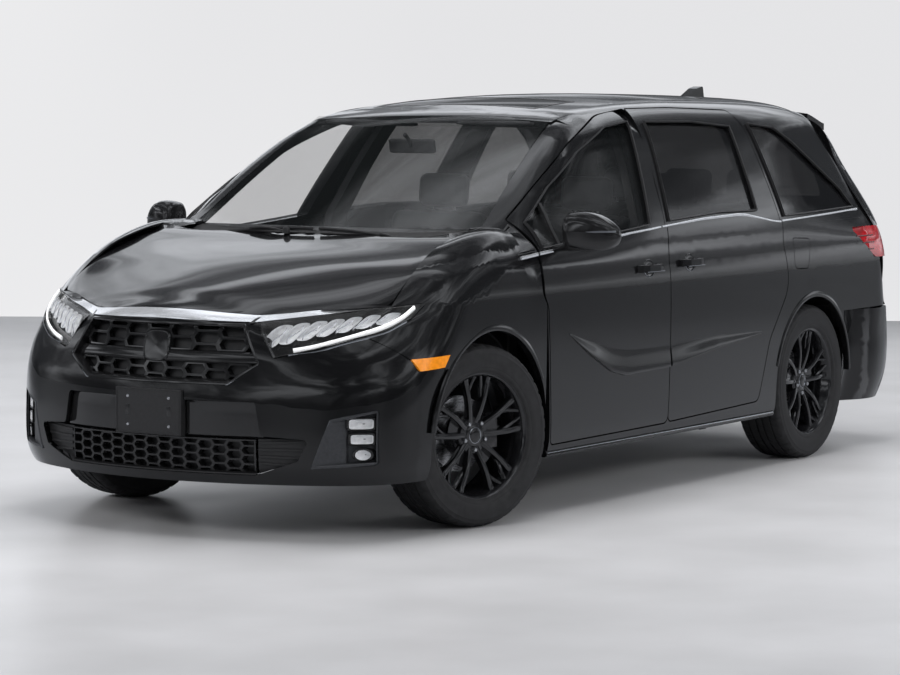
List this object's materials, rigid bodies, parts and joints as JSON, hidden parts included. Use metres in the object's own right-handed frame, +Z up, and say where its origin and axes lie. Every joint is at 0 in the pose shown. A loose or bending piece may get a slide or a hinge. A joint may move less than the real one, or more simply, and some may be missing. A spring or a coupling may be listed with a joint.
{
  "type": "minivan",
  "caption": "Long-wheelbase minivan with hinged front doors, hood and tailgate, steered front wheels and three rows of seats in a hollow cabin.",
  "frame": {"origin": "on the ground, below the centre of the overall box", "axes": "+X forward, +Y to the left side, +Z up"},
  "size_m": [5.2277, 2.4294, 1.7883],
  "materials": {
    "body_paint": "gloss black",
    "structure_paint": "satin black",
    "clear_glass": "lightly tinted",
    "dark_glass": "privacy tint",
    "bright_trim": "polished",
    "black_plastic": "grained",
    "lamp_clear": "clear lens",
    "lamp_red": "red lens",
    "rim_black": "gloss black",
    "tyre_rubber": "matte",
    "cast_metal": "as cast",
    "steel": "satin",
    "seat_cover": "grained",
    "cabin_plastic": "soft grain"
  },
  "bodies": {
    "body": {"cowl_panel": "black_plastic", "dashboard": "cabin_plastic", "door_pillars": "structure_paint", "engine_block": "cast_metal", "exhaust": "steel", "fender_left": "body_paint", "fender_right": "body_paint", "fixed_side_glass": "dark_glass", "floor_pan": "structure_paint", "fog_lamps": "black_plastic", "front_bright_bar": "bright_trim", "front_bumper": "body_paint", "front_seats": "seat_cover", "front_structure": "structure_paint", "front_subframe": "cast_metal", "fuel_tank": "black_plastic", "headlamps": "lamp_clear", "lower_grille": "black_plastic", "plate_bracket": "black_plastic", "rear_axle": "cast_metal", "rear_bumper": "body_paint", "roof_fin": "body_paint", "roof_panel": "body_paint", "second_row_seats": "seat_cover", "side_frame_left": "body_paint", "side_frame_right": "body_paint", "sliding_door_glass_left": "dark_glass", "sliding_door_glass_right": "dark_glass", "sliding_door_left": "body_paint", "sliding_door_right": "body_paint", "sunroof_glass": "dark_glass", "tail_lamps": "lamp_red", "third_row_seat": "seat_cover", "upper_grille": "black_plastic", "windshield": "clear_glass"},
    "steer_left": {"knuckle_left": "cast_metal"},
    "steer_right": {"knuckle_right": "cast_metal"},
    "wheel_front_left": {"rim_front_left": "rim_black", "tyre_front_left": "tyre_rubber"},
    "wheel_front_right": {"rim_front_right": "rim_black", "tyre_front_right": "tyre_rubber"},
    "wheel_rear_left": {"rim_rear_left": "rim_black", "tyre_rear_left": "tyre_rubber"},
    "wheel_rear_right": {"rim_rear_right": "rim_black", "tyre_rear_right": "tyre_rubber"},
    "door_left": {"front_door_left": "body_paint", "front_door_glass_left": "clear_glass", "mirror_left": "body_paint"},
    "door_right": {"front_door_right": "body_paint", "front_door_glass_right": "clear_glass", "mirror_right": "body_paint"},
    "hood": {"hood": "body_paint"},
    "tailgate": {"tailgate": "body_paint", "tailgate_glass": "dark_glass", "tailgate_lamps": "lamp_red"},
    "fuel_flap": {"fuel_flap": "body_paint"},
    "steering_wheel": {"steering_wheel": "cabin_plastic"}
  },
  "joints": [
    {"name": "steer_left", "type": "hinge", "parent": "body", "child": "steer_left", "pos_m": [1.6, 0.79, 0.3705], "axis": [0, 0, 1], "range_deg": [-20, 50]},
    {"name": "steer_right", "type": "hinge", "parent": "body", "child": "steer_right", "pos_m": [1.6, -0.79, 0.3705], "axis": [0, 0, 1], "range_deg": [-20, 50]},
    {"name": "spin_front_left", "type": "hinge", "parent": "steer_left", "child": "wheel_front_left", "pos_m": [1.61682, 0.85279, 0.3705], "axis": [0.2588, 0.9659, 0], "continuous": true},
    {"name": "spin_rear_left", "type": "hinge", "parent": "body", "child": "wheel_rear_left", "pos_m": [-1.4, 0.855, 0.3705], "axis": [0, 1, 0], "continuous": true},
    {"name": "spin_front_right", "type": "hinge", "parent": "steer_right", "child": "wheel_front_right", "pos_m": [1.58318, -0.85279, 0.3705], "axis": [0.2588, 0.9659, 0], "continuous": true},
    {"name": "spin_rear_right", "type": "hinge", "parent": "body", "child": "wheel_rear_right", "pos_m": [-1.4, -0.855, 0.3705], "axis": [0, 1, 0], "continuous": true},
    {"name": "open_door_left", "type": "hinge", "parent": "body", "child": "door_left", "pos_m": [1.196, 0.997, 0.7], "axis": [0, 0, -1], "range_deg": [0, 68]},
    {"name": "open_door_right", "type": "hinge", "parent": "body", "child": "door_right", "pos_m": [1.196, -0.997, 0.7], "axis": [0, 0, 1], "range_deg": [0, 68]},
    {"name": "open_hood", "type": "hinge", "parent": "body", "child": "hood", "pos_m": [1.468, 0, 1.186], "axis": [0, -1, 0], "range_deg": [0, 45]},
    {"name": "open_tailgate", "type": "hinge", "parent": "body", "child": "tailgate", "pos_m": [-2.087, 0, 1.705], "axis": [0, 1, 0], "range_deg": [0, 82]},
    {"name": "open_fuel_flap", "type": "hinge", "parent": "body", "child": "fuel_flap", "pos_m": [-1.168, 0.985, 1], "axis": [0, 0, -1], "range_deg": [0, 85]},
    {"name": "turn_steering_wheel", "type": "hinge", "parent": "body", "child": "steering_wheel", "pos_m": [0.74, 0.38, 0.985], "axis": [-0.9063, 0, 0.4226], "range_deg": [-290, 725]}
  ],
  "couplings": [
    {"joint": "steer_right", "follows": "steer_left", "ratio": 1},
    {"joint": "turn_steering_wheel", "follows": "steer_left", "ratio": 14.5}
  ]
}
